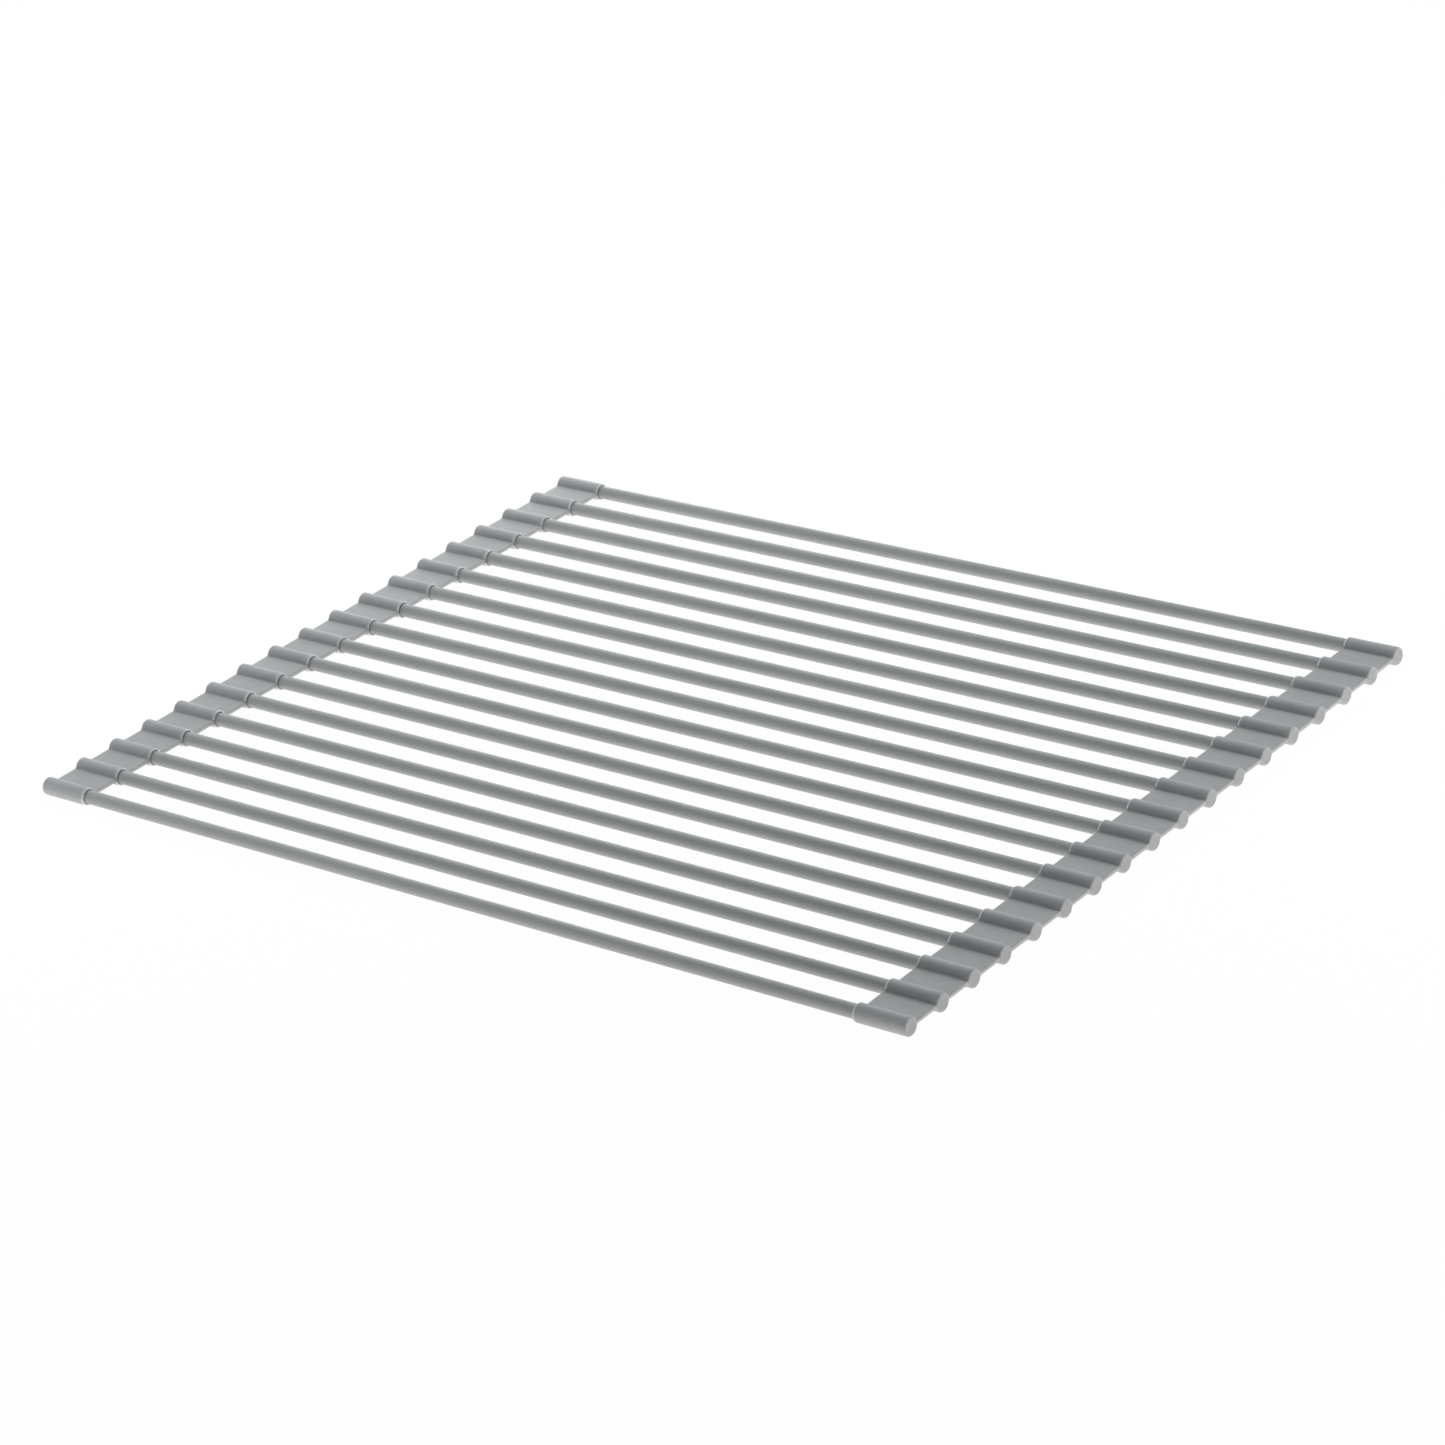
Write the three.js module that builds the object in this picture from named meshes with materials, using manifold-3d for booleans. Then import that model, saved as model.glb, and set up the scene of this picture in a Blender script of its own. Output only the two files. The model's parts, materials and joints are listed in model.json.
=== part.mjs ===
// Roll-up dish drying rack, lying open.
// Eighteen steel tubes with a silicone skin lie side by side. Each end of a tube is pushed into
// a blind silicone sleeve, and a thin web joins each sleeve to the next, so the strip of sleeves
// at either end lets the whole rack be rolled up. Both strips are modelled as segments that part
// at the middle of each web, on the line where the web flexes.
// Millimetres. +X runs along the tubes, +Y from the front row to the back row, +Z up.
// The origin is under the middle of the rack, on the surface that it lies on.

import * as THREE from "three";
import { mergeVertices } from "three/addons/utils/BufferGeometryUtils.js";
import Module from "manifold-3d";

const wasm = await Module();
wasm.setup();

// The rows
const rowCount = 18;
const rowPitch = 22.5; // from one tube's axis to the next

// The coated tubes
const tubeDiameter = 5; // bare steel
const tubeWall = 0.5;
const skinThickness = 0.85;
const spanLength = 462.2; // bare stretch of a tube, from mouth to mouth of its two sleeves

// The sleeves
const sleeveWall = 0.95;
const sleeveLength = 28;
const blindWall = 2; // silicone beyond the tube's tip
const blindRounding = 1; // rounded edge of the blind end
const mouthRounding = 0.7; // rounded outer edge of the mouth
const socketClearance = 0.1; // between the skin and the socket, on the radius
const tipClearance = 0.3; // between the tube's tip and the floor of the socket

// The webs between the sleeves
const webRise = 0.95; // from the tubes' axes up to the top of the web
const webThickness = 1.8;
const webSetback = 0.3; // from the blind end back to the web's outer edge
const flexGap = 0.3; // between two half webs, at the line where the web flexes

// Faces round a tube or sleeve, and steps in its roundings
const facets = 18;
const roundingSteps = 2;
const cutOverrun = 1; // how far a cutter reaches past the face that it opens

// Worked out from the sizes above
const skinRadius = tubeDiameter / 2 + skinThickness;
const boreRadius = tubeDiameter / 2 - tubeWall;
const socketRadius = skinRadius + socketClearance;
const sleeveRadius = socketRadius + sleeveWall;
const socketDepth = sleeveLength - blindWall;
const tubeLength = spanLength + 2 * (socketDepth - tipClearance);
const axisHeight = sleeveRadius;
const halfWebReach = (rowPitch - flexGap) / 2;

// A point of a profile that is turned about the tube's axis: how far along it and how far out.
// Flat faces lie at the stated radius, so that a sleeve rests on a face and not on an edge.
function profilePoint(along, radius) {
  return new THREE.Vector2(radius / Math.cos(Math.PI / facets), along);
}

// A quarter round from one point of a profile to the next, about a centre and between two angles.
function quarterRound(centreAlong, centreRadius, size, fromAngle, toAngle) {
  const points = [];
  for (let step = 0; step <= roundingSteps; step += 1) {
    const angle = fromAngle + ((toAngle - fromAngle) * step) / roundingSteps;
    const along = centreAlong + size * Math.sin(angle);
    points.push(profilePoint(along, centreRadius + size * Math.cos(angle)));
  }
  return points;
}

// Turns a profile about the X axis, with a flat face on top and at the bottom.
function turned(profile) {
  const geometry = new THREE.LatheGeometry(profile, facets, Math.PI / facets);
  return geometry.rotateZ(-Math.PI / 2);
}

// A closed geometry as a solid that can be joined and cut.
function toSolid(geometry) {
  const bare = geometry.clone();
  bare.deleteAttribute("normal");
  bare.deleteAttribute("uv");
  const merged = mergeVertices(bare);
  const index = Array.from(merged.index.array);
  const triangles = [];
  for (let i = 0; i < index.length; i += 3) {
    const [a, b, c] = index.slice(i, i + 3);
    if (a !== b && b !== c && c !== a) triangles.push(a, b, c);
  }
  return new wasm.Manifold(
    new wasm.Mesh({
      numProp: 3,
      vertProperties: new Float32Array(merged.attributes.position.array),
      triVerts: new Uint32Array(triangles),
    }),
  );
}

// A solid as a geometry with flat-shaded faces.
function toGeometry(solid) {
  const mesh = solid.getMesh();
  const geometry = new THREE.BufferGeometry();
  geometry.setAttribute("position", new THREE.BufferAttribute(mesh.vertProperties, 3));
  geometry.setIndex(new THREE.BufferAttribute(mesh.triVerts, 1));
  geometry.computeVertexNormals();
  return geometry;
}

// One coated tube, open at both ends, centred on the origin.
function tubeGeometry() {
  const tip = tubeLength / 2;
  return turned([
    profilePoint(-tip, boreRadius),
    profilePoint(-tip, skinRadius),
    profilePoint(tip, skinRadius),
    profilePoint(tip, boreRadius),
    profilePoint(-tip, boreRadius),
  ]);
}

// The outside of a sleeve, from its mouth at zero to its blind end.
function sleeveBody() {
  const mouthRing = sleeveRadius - mouthRounding;
  const blindRing = sleeveRadius - blindRounding;
  return toSolid(
    turned([
      profilePoint(0, 0),
      ...quarterRound(mouthRounding, mouthRing, mouthRounding, -Math.PI / 2, 0),
      ...quarterRound(sleeveLength - blindRounding, blindRing, blindRounding, 0, Math.PI / 2),
      profilePoint(sleeveLength, 0),
    ]),
  );
}

// The round socket that a tube is pushed into, open at the mouth.
function socketCutter() {
  return toSolid(
    turned([
      profilePoint(-cutOverrun, 0),
      profilePoint(-cutOverrun, socketRadius),
      profilePoint(socketDepth, socketRadius),
      profilePoint(socketDepth, 0),
    ]),
  );
}

// Half of a web, from the sleeve's axis to the flexing line in front of it (side -1) or behind
// it (side 1). Its inner edge is flush with the mouth of the sleeve.
function halfWeb(side) {
  const plate = new THREE.BoxGeometry(sleeveLength - webSetback, halfWebReach, webThickness);
  const middle = (sleeveLength - webSetback) / 2;
  return plate.translate(middle, (side * halfWebReach) / 2, webRise - webThickness / 2);
}

// One segment of a strip: a blind sleeve along +X, with half of a web on each side that has one.
function stripSegment(webSides) {
  let solid = sleeveBody();
  for (const side of webSides) solid = solid.add(toSolid(halfWeb(side)));
  return toGeometry(solid.subtract(socketCutter()));
}

// The distance of a row's axis from the middle of the rack, counting rows from the front.
function rowPlace(row) {
  return (row - (rowCount - 1) / 2) * rowPitch;
}

function rowName(piece, row) {
  return `${piece}_${String(row + 1).padStart(2, "0")}`;
}

function rodMaterial() {
  return new THREE.MeshStandardMaterial({ color: 0x8b9394, roughness: 0.5, metalness: 0 });
}

function stripMaterial() {
  return new THREE.MeshStandardMaterial({ color: 0x969e9f, roughness: 0.65, metalness: 0 });
}

function named(name, geometry, material) {
  const mesh = new THREE.Mesh(geometry, material);
  mesh.name = name;
  return mesh;
}

const group = new THREE.Group();

for (let row = 0; row < rowCount; row += 1) {
  const y = rowPlace(row);
  const webSides = [];
  if (row > 0) webSides.push(-1);
  if (row < rowCount - 1) webSides.push(1);

  const rod = named(rowName("rod", row), tubeGeometry(), rodMaterial());
  rod.position.set(0, y, axisHeight);
  group.add(rod);

  const right = named(rowName("right_strip", row), stripSegment(webSides), stripMaterial());
  right.position.set(spanLength / 2, y, axisHeight);
  group.add(right);

  // The left strip is the same moulding turned round, so its webs face the other way too.
  const turnedSides = webSides.map((side) => -side);
  const left = named(rowName("left_strip", row), stripSegment(turnedSides), stripMaterial());
  left.rotation.z = Math.PI;
  left.position.set(-spanLength / 2, y, axisHeight);
  group.add(left);
}

export default group;
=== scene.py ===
"""Looks for a roll-up dish drying rack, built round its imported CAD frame.

Coated tubes lie side by side. Each end of a tube sits in a blind silicone sleeve, and a thin web joins each
sleeve to the next. Metres, in the frame of the CAD: +X along the tubes, +Y to the back row, +Z up.
"""

import json
import math

import bmesh
import bpy
from mathutils import Matrix, Vector


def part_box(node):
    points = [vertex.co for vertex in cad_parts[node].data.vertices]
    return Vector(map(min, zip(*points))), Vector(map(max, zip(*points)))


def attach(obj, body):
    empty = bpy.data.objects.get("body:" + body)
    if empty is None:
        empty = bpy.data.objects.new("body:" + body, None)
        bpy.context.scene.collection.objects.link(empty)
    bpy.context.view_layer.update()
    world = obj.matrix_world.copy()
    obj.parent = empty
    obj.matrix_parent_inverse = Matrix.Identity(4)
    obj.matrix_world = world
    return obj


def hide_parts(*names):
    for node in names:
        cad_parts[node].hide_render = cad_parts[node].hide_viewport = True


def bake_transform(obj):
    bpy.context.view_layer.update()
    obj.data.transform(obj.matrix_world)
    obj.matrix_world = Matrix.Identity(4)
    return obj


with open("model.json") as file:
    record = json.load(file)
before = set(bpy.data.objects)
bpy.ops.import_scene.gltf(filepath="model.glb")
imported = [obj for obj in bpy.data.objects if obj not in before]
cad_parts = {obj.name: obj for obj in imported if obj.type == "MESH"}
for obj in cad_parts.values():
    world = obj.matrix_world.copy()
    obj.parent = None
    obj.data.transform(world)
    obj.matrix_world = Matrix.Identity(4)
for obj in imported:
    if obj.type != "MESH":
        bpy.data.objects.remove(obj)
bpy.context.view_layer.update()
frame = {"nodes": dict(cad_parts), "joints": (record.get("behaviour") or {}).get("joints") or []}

MM = 0.001
WHITE = (1, 1, 1, 1)

# The tubes
SKIN_WALL = 0.85 * MM  # silicone skin on the steel
TUBE_WALL = 0.5 * MM
TIP_ROUNDING = 0.3 * MM

# The sleeves
SOCKET_CLEARANCE = 0.1 * MM  # between a tube's skin and its socket, on the radius
TIP_CLEARANCE = 0.3 * MM  # between a tube's tip and the floor of its socket
LIP_INNER_ROUNDING = 0.3 * MM
LIP_OUTER_ROUNDING = 0.65 * MM
BLIND_ROUNDING = 1.0 * MM

# The webs
WEB_THICKNESS = 1.8 * MM
WEB_SETBACK = 0.3 * MM  # from the blind end back to the web's outer edge
WEB_EDGE_ROUNDING = 0.45 * MM
WEB_ROOT_FILLET = 0.5 * MM
WEB_ROOT_DEPTH = 0.5 * MM  # how far a web reaches into the wall of its sleeve

# Steps in the curves
TURN_STEPS = 64
ROUNDING_STEPS = 6
FILLET_STEPS = 6
WEB_STEPS = 24  # across a web, between its fillets

# Meshes
MERGE_DISTANCE = 0.001 * MM
SMOOTH_BELOW = math.radians(40)  # an edge that turns more than this stays sharp
SHADING_GUARD = 0.3 * MM  # from a rounding to a line beyond which the face beside it is shaded as flat

# The silicone's darkest and lightest tints
ROD_TINTS = ((0.322, 0.348, 0.35, 1), (0.35, 0.378, 0.38, 1))
STRIP_TINTS = ((0.366, 0.39, 0.404, 1), (0.395, 0.42, 0.435, 1))
# the webs' tints are a little warmer than the sleeves': painted warm light from the floor in the thin webs
WEB_WARM_LIGHT_TINTS = ((0.372, 0.39, 0.396, 1), (0.402, 0.42, 0.427, 1))
LIP_HIGHLIGHT_TINTS = ((0.58, 0.617, 0.633, 1), (0.62, 0.662, 0.678, 1))  # pale: a painted highlight along the lip, on top of the light that passes through the thin lip
# darker tints for the flat of a blind end: painted shade, so that the rounded rim round it looks lit
END_SHADE_TINTS = ((0.316, 0.329, 0.33, 1), (0.342, 0.356, 0.357, 1))

# The silicone's surface
ROD_ROUGHNESS = 0.5
STRIP_ROUGHNESS = 0.56
LIP_ROUGHNESS = 0.5
ROUGHNESS_SPREAD = 0.05  # how far the roughness strays, either way
SILICONE_IOR = 1.41
LIGHT_REACH = 2.0 * MM  # how far light spreads inside thin silicone
EVEN_STRETCH = (1, 1, 1)
ROD_STRETCH = (0.15, 1, 1)  # draws the pattern out along the tubes

# The silicone's noises. A scale is about the number of lumps in a metre.
CLOUD_SCALE = 90.0
CLOUD_DETAIL = 3.0
TINT_RANGE = (0.3, 0.7)  # the noise's values that give the darkest and the lightest tint
GLOSS_SCALE = 300.0
GLOSS_DETAIL = 2.0
GRAIN_SCALE = 2600.0
GRAIN_DETAIL = 2.0
GRAIN_STRENGTH = 0.25
GRAIN_DEPTH = 0.05 * MM  # the height of the grain's bumps

# The material slots of a sleeve, after the first, which is for its sides
LIP_SLOT = 1
END_SLOT = 2

# The camera, found by fitting the ends of all the tubes in a 1445 x 1445 picture
CAMERA_TARGET = Vector((-1.857 * MM, 7.174 * MM, 0.4 * MM))
CAMERA_AZIMUTH = math.radians(42.186)
CAMERA_ELEVATION = math.radians(25.639)
CAMERA_ROLL = math.radians(-7.948)
CAMERA_DISTANCE = 2302.6 * MM
CAMERA_LENS = 120.88  # millimetres, on a sensor of SENSOR_WIDTH
SENSOR_WIDTH = 36  # millimetres

# The floor and the world
FLOOR_HALF = 6.0  # half of the floor's side
FLOOR_SHADE_SHARE = 0.05  # how much of the floor's real shading shows, so that a faint shadow stays
FLOOR_COLOUR = (0.92, 0.92, 0.92, 1)
FLOOR_WHITE = 1.02  # a little over white, because the shading takes some away again
FLOOR_GLOW = 1.06  # what the floor adds to the light from below
FLOOR_GLOW_COLOUR = (1.0, 0.93, 0.87, 1)
WORLD_SEEN = 1.0  # white, where the camera sees past the floor
WORLD_FILL = 0.0  # none, because the lamps and the floor's glow give all the light

joints = {joint["name"]: joint for joint in frame["joints"]}
rows = sorted(name[-2:] for name in frame["nodes"] if name.startswith("rod_"))  # "01" is the front row


def arc(along, across, size, start, end):
    """Points of a section on part of a circle about a centre, from one angle to another, in degrees.

    At 0 degrees a point lies farthest across, and at 90 degrees farthest along.
    """
    points = []
    for step in range(ROUNDING_STEPS + 1):
        angle = math.radians(start + (end - start) * step / ROUNDING_STEPS)
        points.append((along + size * math.sin(angle), across + size * math.cos(angle)))
    return points


def join_rings(shape, ring, following):
    """Faces between two rings with the same number of points."""
    count = len(ring)
    for step in range(count):
        after = (step + 1) % count
        shape.faces.new((ring[step], ring[after], following[after], following[step]))


def finished(name, shape, material):
    """An object from mesh code, smooth but for its sharp edges."""
    bmesh.ops.remove_doubles(shape, verts=shape.verts, dist=MERGE_DISTANCE)
    bmesh.ops.recalc_face_normals(shape, faces=shape.faces)
    mesh = bpy.data.meshes.new(name)
    shape.to_mesh(mesh)
    shape.free()
    mesh.shade_smooth()
    mesh.set_sharp_from_angle(angle=SMOOTH_BELOW)
    mesh.materials.append(material)
    piece = bpy.data.objects.new(name, mesh)
    bpy.context.scene.collection.objects.link(piece)
    return piece


def turned(name, profile, place, facing, material):
    """A profile of (along, radius), turned about a line through place that faces +X or -X.

    It starts and ends on the line, or it closes on itself.
    """
    shape = bmesh.new()
    rings = []
    for along, radius in profile:
        ring = []
        for step in range(TURN_STEPS):
            angle = 2 * math.pi * step / TURN_STEPS
            offset = Vector((facing * along, radius * math.cos(angle), radius * math.sin(angle)))
            ring.append(shape.verts.new(place + offset))
        rings.append(ring)
    starts_on_line = profile[0][1] == 0
    closing = [] if starts_on_line else rings[:1]
    for ring, following in zip(rings, rings[1:] + closing):
        join_rings(shape, ring, following)
    return finished(name, shape, material)


def rod_profile(length, radius):
    """The section of a coated tube, centred, open at both ends."""
    half = length / 2
    bore = radius - SKIN_WALL - TUBE_WALL
    inner = half - TIP_ROUNDING
    outer = radius - TIP_ROUNDING
    return [
        (-half, bore),
        *arc(-inner, outer, TIP_ROUNDING, -90, 0),
        (SHADING_GUARD - inner, radius),
        (inner - SHADING_GUARD, radius),
        *arc(inner, outer, TIP_ROUNDING, 0, 90),
        (half, bore),
    ]


def sleeve_profile(length, radius, socket_radius, socket_depth):
    """The section of a sleeve, from the floor of its socket round the lip to its blind end."""
    lip_inner = socket_radius + LIP_INNER_ROUNDING
    lip_outer = radius - LIP_OUTER_ROUNDING
    blind_edge = length - BLIND_ROUNDING
    blind_flat = radius - BLIND_ROUNDING
    return [
        (socket_depth, 0),
        (socket_depth, socket_radius),
        *arc(LIP_INNER_ROUNDING, lip_inner, LIP_INNER_ROUNDING, -180, -90),
        *arc(LIP_OUTER_ROUNDING, lip_outer, LIP_OUTER_ROUNDING, -90, 0),
        (LIP_OUTER_ROUNDING + SHADING_GUARD, radius),
        (blind_edge - SHADING_GUARD, radius),
        *arc(blind_edge, blind_flat, BLIND_ROUNDING, 0, 90),
        (length, blind_flat - SHADING_GUARD),
        (length, 0),
    ]


def web_stations(span):
    """Distances from a sleeve's side into the web, close together in the fillet at either root."""
    fillet = [WEB_ROOT_FILLET * step / FILLET_STEPS for step in range(FILLET_STEPS)]
    free = span - 2 * WEB_ROOT_FILLET
    middle = [WEB_ROOT_FILLET + free * step / WEB_STEPS for step in range(WEB_STEPS + 1)]
    far_fillet = [span - distance for distance in reversed(fillet)]
    return [-WEB_ROOT_DEPTH, *fillet, *middle, *far_fillet, span + WEB_ROOT_DEPTH]


def fillet_rise(distance):
    """How much thicker a web is on each face, at a distance from the sleeve's side."""
    left = WEB_ROOT_FILLET - max(distance, 0)
    if left <= 0:
        return 0
    return WEB_ROOT_FILLET - math.sqrt(WEB_ROOT_FILLET**2 - left**2)


def web_section(width, top, bottom):
    """The rounded oblong that a web has across, from the mouths outwards, as (along, height) points."""
    size = WEB_EDGE_ROUNDING
    near = size
    far = width - size
    return [
        *arc(far, top - size, size, 90, 0),
        (far - SHADING_GUARD, top),
        (near + SHADING_GUARD, top),
        *arc(near, top - size, size, 0, -90),
        *arc(near, bottom + size, size, -90, -180),
        (near + SHADING_GUARD, bottom),
        (far - SHADING_GUARD, bottom),
        *arc(far, bottom + size, size, -180, -270),
    ]


def web(name, mouth_x, facing, width, front, back, top, material):
    """A web between the side of one sleeve and the side of the next, which lie at front and back in Y."""
    shape = bmesh.new()
    span = back - front
    rings = []
    for station in web_stations(span):
        rise = fillet_rise(min(station, span - station))
        section = web_section(width, top + rise, top - WEB_THICKNESS - rise)
        y = front + station
        rings.append([shape.verts.new((mouth_x + facing * along, y, height)) for along, height in section])
    for ring, following in zip(rings, rings[1:]):
        join_rings(shape, ring, following)
    shape.faces.new(rings[0])
    shape.faces.new(rings[-1])
    return finished(name, shape, material)


def node(tree, kind, settings=None, **inputs):
    """A shader node with some settings and some unlinked or linked inputs."""
    made = tree.nodes.new(kind)
    for key, value in (settings or {}).items():
        setattr(made, key, value)
    for key, value in inputs.items():
        socket = made.inputs[key.replace("_", " ")]
        if isinstance(value, bpy.types.NodeSocket):
            tree.links.new(value, socket)
        else:
            socket.default_value = value
    return made


def empty_material(name):
    material = bpy.data.materials.new(name)
    material.use_nodes = True
    material.node_tree.nodes.clear()
    return material, material.node_tree


def noise(tree, place, scale, detail):
    return node(tree, "ShaderNodeTexNoise", Vector=place, Scale=scale, Detail=detail).outputs["Fac"]


def cloudy_tint(tree, place, tints):
    """A colour that drifts between two tints."""
    ramp = node(tree, "ShaderNodeValToRGB", Fac=noise(tree, place, CLOUD_SCALE, CLOUD_DETAIL))
    for stop, position, tint in zip(ramp.color_ramp.elements, TINT_RANGE, tints):
        stop.position = position
        stop.color = tint
    return ramp.outputs["Color"]


def uneven_roughness(tree, place, roughness):
    """A roughness that strays a little to either side."""
    spread = node(
        tree,
        "ShaderNodeMapRange",
        Value=noise(tree, place, GLOSS_SCALE, GLOSS_DETAIL),
        To_Min=roughness - ROUGHNESS_SPREAD,
        To_Max=roughness + ROUGHNESS_SPREAD,
    )
    return spread.outputs["Result"]


def fine_grain(tree, place):
    """The fine bumps of a moulded surface, as a normal."""
    grain = noise(tree, place, GRAIN_SCALE, GRAIN_DETAIL)
    bump = node(tree, "ShaderNodeBump", Height=grain, Strength=GRAIN_STRENGTH, Distance=GRAIN_DEPTH)
    return bump.outputs["Normal"]


def silicone(name, tints, roughness, stretch=EVEN_STRETCH, translucency=0.0):
    """Matt moulded silicone: cloudy in colour, finely grained, a little uneven in its gloss."""
    material, tree = empty_material(name)
    coordinates = node(tree, "ShaderNodeTexCoord").outputs["Object"]
    place = node(tree, "ShaderNodeMapping", Vector=coordinates, Scale=stretch).outputs["Vector"]
    shader = node(
        tree,
        "ShaderNodeBsdfPrincipled",
        Base_Color=cloudy_tint(tree, place, tints),
        Roughness=uneven_roughness(tree, place, roughness),
        Normal=fine_grain(tree, place),
        IOR=SILICONE_IOR,
        Subsurface_Weight=translucency,
        Subsurface_Radius=(1, 1, 1),
        Subsurface_Scale=LIGHT_REACH,
    )
    node(tree, "ShaderNodeOutputMaterial", Surface=shader.outputs["BSDF"])
    return material


def build_rods(material):
    for row in rows:
        low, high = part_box(f"rod_{row}")
        profile = rod_profile(high.x - low.x, (high.z - low.z) / 2)
        rod = turned(f"coated_rod_{row}", profile, (low + high) / 2, facing=1, material=material)
        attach(rod, f"row_{row}")
        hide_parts(f"rod_{row}")


def sleeve_facts(side, row):
    """Where a sleeve's mouth is, the way that it faces, its length and its radius."""
    low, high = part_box(f"{side}_strip_{row}")
    rod_low, rod_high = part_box(f"rod_{row}")
    facing = 1 if side == "right" else -1
    mouth_x = low.x if side == "right" else high.x
    axis = (rod_low + rod_high) / 2
    return Vector((mouth_x, axis.y, axis.z)), facing, high.x - low.x, (high.z - low.z) / 2


def socket_facts(row, mouth, facing):
    """The radius and the depth of a sleeve's socket, from the tube that sits in it."""
    rod_low, rod_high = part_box(f"rod_{row}")
    tip = rod_high.x if facing > 0 else rod_low.x
    return (rod_high.z - rod_low.z) / 2 + SOCKET_CLEARANCE, abs(tip - mouth.x) + TIP_CLEARANCE


def paint_ends(sleeve, mouth, lip_radius, flat_radius, lip_highlight_material, end_shade_material):
    """Gives the outside of the mouth's lip a paler material, a painted highlight, and the flat of the blind
    end a darker one, a painted shade.
    """
    sleeve.data.materials.append(lip_highlight_material)
    sleeve.data.materials.append(end_shade_material)
    lip_depth = LIP_OUTER_ROUNDING + SHADING_GUARD
    for face in sleeve.data.polygons:
        offset = face.center - mouth
        if abs(offset.x) < lip_depth and offset.yz.length > lip_radius:
            face.material_index = LIP_SLOT
        elif abs(offset.x) > lip_depth and offset.yz.length < flat_radius:
            face.material_index = END_SLOT


def build_sleeves(side, material, lip_highlight_material, end_shade_material):
    for row in rows:
        mouth, facing, length, radius = sleeve_facts(side, row)
        socket_radius, socket_depth = socket_facts(row, mouth, facing)
        profile = sleeve_profile(length, radius, socket_radius, socket_depth)
        sleeve = turned(f"{side}_sleeve_{row}", profile, mouth, facing, material)
        lip_radius = socket_radius + LIP_INNER_ROUNDING
        paint_ends(sleeve, mouth, lip_radius, radius - BLIND_ROUNDING, lip_highlight_material, end_shade_material)
        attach(sleeve, f"row_{row}")
        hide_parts(f"{side}_strip_{row}")


def build_webs(side, material):
    for row, following in zip(rows, rows[1:]):
        mouth, facing, length, radius = sleeve_facts(side, row)
        next_mouth = sleeve_facts(side, following)[0]
        flex = Vector(joints[f"flex_{row}"]["pos_m"])
        side_reach = math.sqrt(radius**2 - (flex.z - mouth.z) ** 2)
        front = mouth.y + side_reach
        back = next_mouth.y - side_reach
        width = length - WEB_SETBACK
        piece = web(f"{side}_web_{row}", mouth.x, facing, width, front, back, flex.z, material)
        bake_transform(piece)
        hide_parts(f"{side}_strip_{row}", f"{side}_strip_{following}")


def backward(azimuth, elevation):
    """From the object to a camera or lamp at that azimuth and elevation."""
    return Vector(
        (
            math.sin(azimuth) * math.cos(elevation),
            -math.cos(azimuth) * math.cos(elevation),
            math.sin(elevation),
        )
    )


def make_camera():
    away = backward(CAMERA_AZIMUTH, CAMERA_ELEVATION)
    level_right = (-away).cross(Vector((0, 0, 1))).normalized()
    level_up = level_right.cross(-away)
    right = level_right * math.cos(CAMERA_ROLL) + level_up * math.sin(CAMERA_ROLL)
    up = level_up * math.cos(CAMERA_ROLL) - level_right * math.sin(CAMERA_ROLL)
    camera_data = bpy.data.cameras.new("camera")
    camera_data.sensor_width = SENSOR_WIDTH
    camera_data.lens = CAMERA_LENS
    camera = bpy.data.objects.new("camera", camera_data)
    bpy.context.scene.collection.objects.link(camera)
    turn = Matrix((right, up, away)).transposed().to_4x4()
    camera.matrix_world = Matrix.Translation(CAMERA_TARGET + away * CAMERA_DISTANCE) @ turn
    bpy.context.scene.camera = camera


def greater(tree, first, second):
    most = node(tree, "ShaderNodeMath", {"operation": "MAXIMUM"})
    tree.links.new(first, most.inputs[0])
    tree.links.new(second, most.inputs[1])
    return most.outputs["Value"]


def seen_directly(tree):
    """1 for the camera and for what it sees in glossy or clear surfaces, 0 for scattered light."""
    path = node(tree, "ShaderNodeLightPath").outputs
    glossy = greater(tree, path["Is Camera Ray"], path["Is Glossy Ray"])
    return greater(tree, glossy, path["Is Transmission Ray"])


def mixed(tree, share, first, second):
    mix = tree.nodes.new("ShaderNodeMixShader")
    if isinstance(share, bpy.types.NodeSocket):
        tree.links.new(share, mix.inputs[0])
    else:
        mix.inputs[0].default_value = share
    tree.links.new(first, mix.inputs[1])
    tree.links.new(second, mix.inputs[2])
    return mix.outputs["Shader"]


def added(tree, first, second):
    both = tree.nodes.new("ShaderNodeAddShader")
    tree.links.new(first, both.inputs[0])
    tree.links.new(second, both.inputs[1])
    return both.outputs["Shader"]


def floor_material():
    """White to the camera with a faint shadow, and a soft warm glow to the object."""
    material, tree = empty_material("white_floor")
    white = node(tree, "ShaderNodeEmission", Strength=FLOOR_WHITE).outputs["Emission"]
    paint = node(tree, "ShaderNodeBsdfDiffuse", Color=FLOOR_COLOUR).outputs["BSDF"]
    glow = node(tree, "ShaderNodeEmission", Color=FLOOR_GLOW_COLOUR, Strength=FLOOR_GLOW).outputs["Emission"]
    shown = mixed(tree, FLOOR_SHADE_SHARE, white, paint)
    surface = mixed(tree, seen_directly(tree), added(tree, paint, glow), shown)
    node(tree, "ShaderNodeOutputMaterial", Surface=surface)
    return material


def make_floor():
    shape = bmesh.new()
    bmesh.ops.create_grid(shape, x_segments=1, y_segments=1, size=FLOOR_HALF)
    finished("floor", shape, floor_material())


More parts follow.
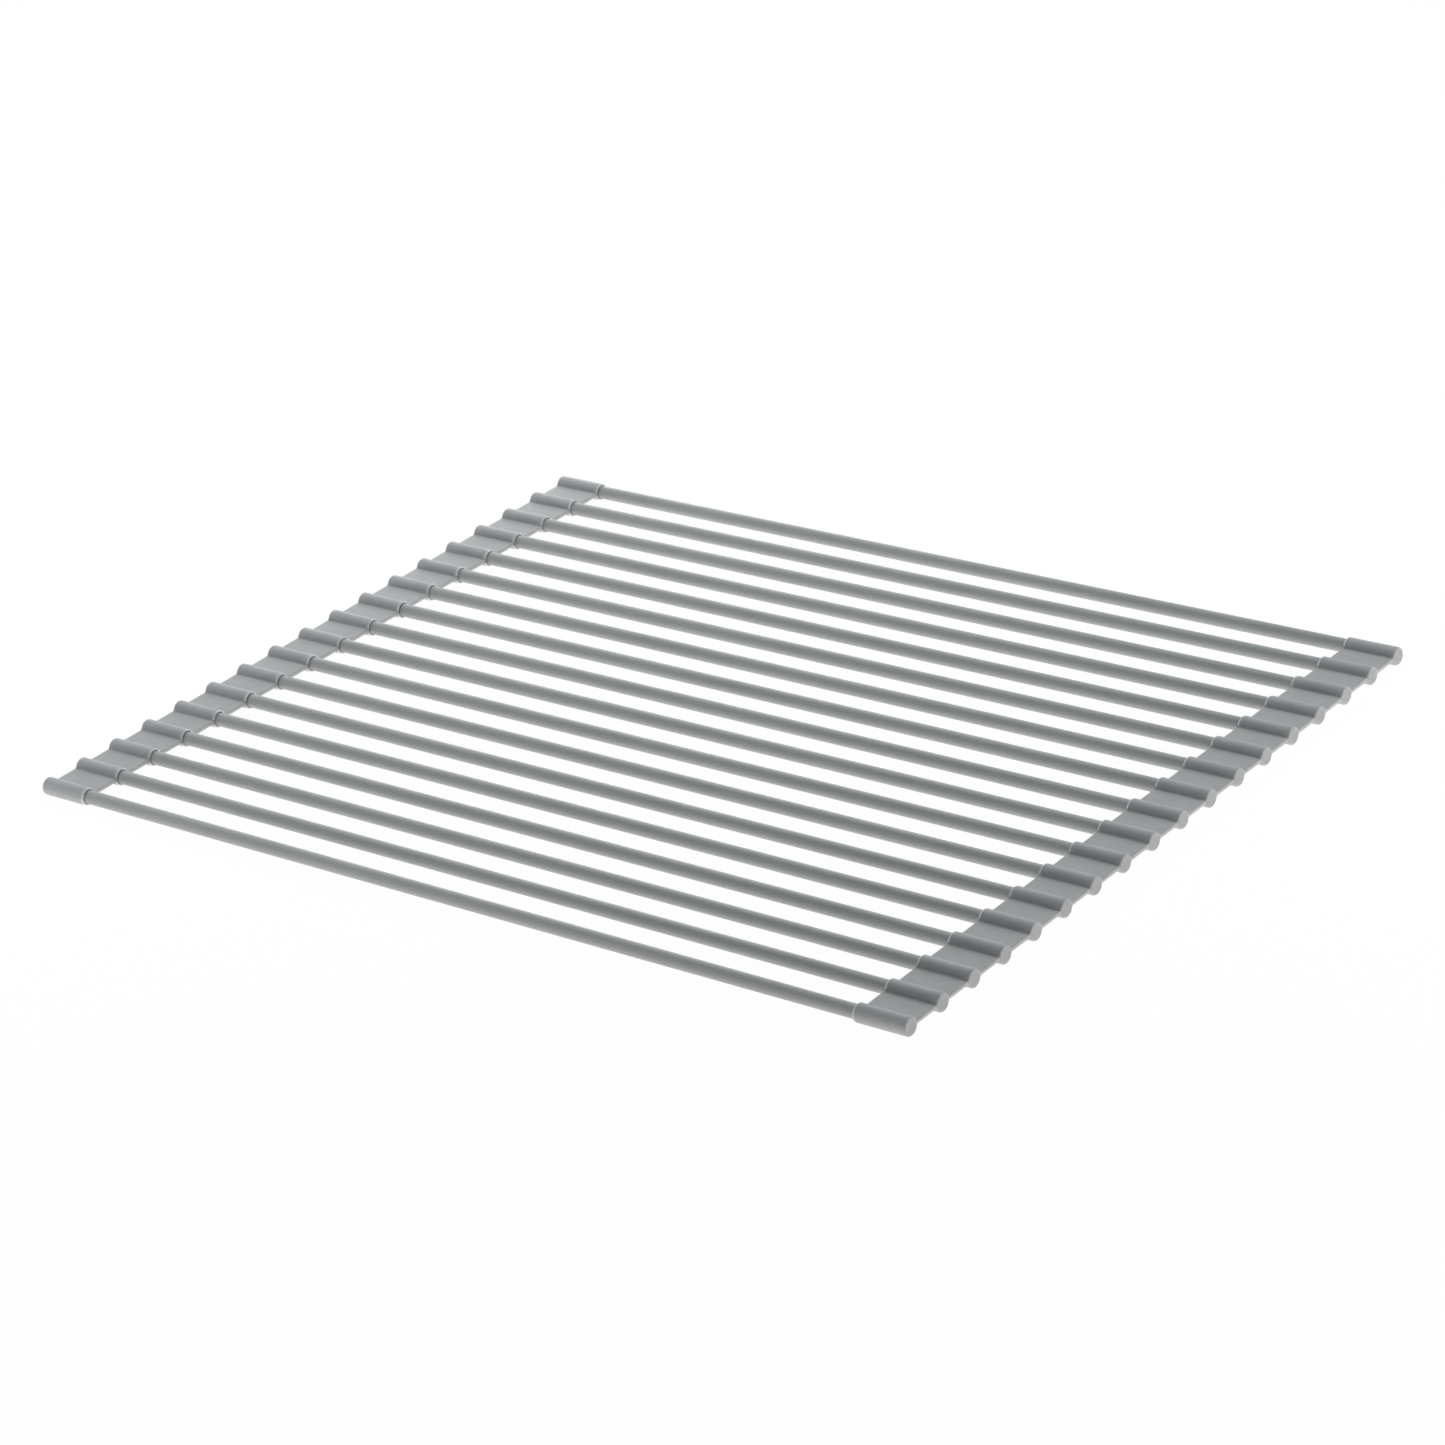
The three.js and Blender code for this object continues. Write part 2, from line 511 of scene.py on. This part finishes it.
def make_world():
    world = bpy.data.worlds.new("world")
    world.use_nodes = True
    tree = world.node_tree
    tree.nodes.clear()
    white = node(tree, "ShaderNodeBackground", Color=WHITE, Strength=WORLD_SEEN).outputs["Background"]
    fill = node(tree, "ShaderNodeBackground", Color=WHITE, Strength=WORLD_FILL).outputs["Background"]
    node(tree, "ShaderNodeOutputWorld", Surface=mixed(tree, seen_directly(tree), fill, white))
    bpy.context.scene.world = world


def soft_lamp(name, azimuth, elevation, distance, size, power):
    """A square lamp that faces the middle of the rack. Angles are in degrees."""
    lamp_data = bpy.data.lights.new(name, "AREA")
    lamp_data.size = size
    lamp_data.energy = power
    lamp = bpy.data.objects.new(name, lamp_data)
    bpy.context.scene.collection.objects.link(lamp)
    away = backward(math.radians(azimuth), math.radians(elevation))
    lamp.location = away * distance
    lamp.rotation_mode = "QUATERNION"
    lamp.rotation_quaternion = away.to_track_quat("Z", "Y")


def make_lights():
    """Lamps whose powers together give the shading of the photograph."""
    soft_lamp("right_back", azimuth=128, elevation=28, distance=1.6, size=0.9, power=14.2)
    soft_lamp("back_low", azimuth=225, elevation=8, distance=1.0, size=0.5, power=2.1)
    soft_lamp("back_left", azimuth=235, elevation=45, distance=1.5, size=1.2, power=7.7)
    soft_lamp("left_box", azimuth=275, elevation=35, distance=1.6, size=1.2, power=8.6)
    soft_lamp("front_left", azimuth=318, elevation=16, distance=1.0, size=0.5, power=1.15)
    soft_lamp("front_low", azimuth=10, elevation=10, distance=1.6, size=0.6, power=0.6)


bpy.context.scene.view_settings.view_transform = "Standard"
rod_silicone = silicone("rod_silicone", ROD_TINTS, ROD_ROUGHNESS, stretch=ROD_STRETCH)
strip_silicone = silicone("strip_silicone", STRIP_TINTS, STRIP_ROUGHNESS)
# The webs are warmer than the sleeves: painted warm light from the floor
web_warm_light_silicone = silicone("web_warm_light_silicone", WEB_WARM_LIGHT_TINTS, STRIP_ROUGHNESS)
# The lips are paler than the sleeves: a painted highlight on top of the light that passes through them
lip_highlight_silicone = silicone("lip_highlight_silicone", LIP_HIGHLIGHT_TINTS, LIP_ROUGHNESS, translucency=1.0)
# The flats of the blind ends are darker than the sleeves: painted shade
end_shade_silicone = silicone("end_shade_silicone", END_SHADE_TINTS, STRIP_ROUGHNESS)
build_rods(rod_silicone)
for strip_side in ("left", "right"):
    build_sleeves(strip_side, strip_silicone, lip_highlight_silicone, end_shade_silicone)
    build_webs(strip_side, web_warm_light_silicone)
make_camera()
make_floor()
make_world()
make_lights()
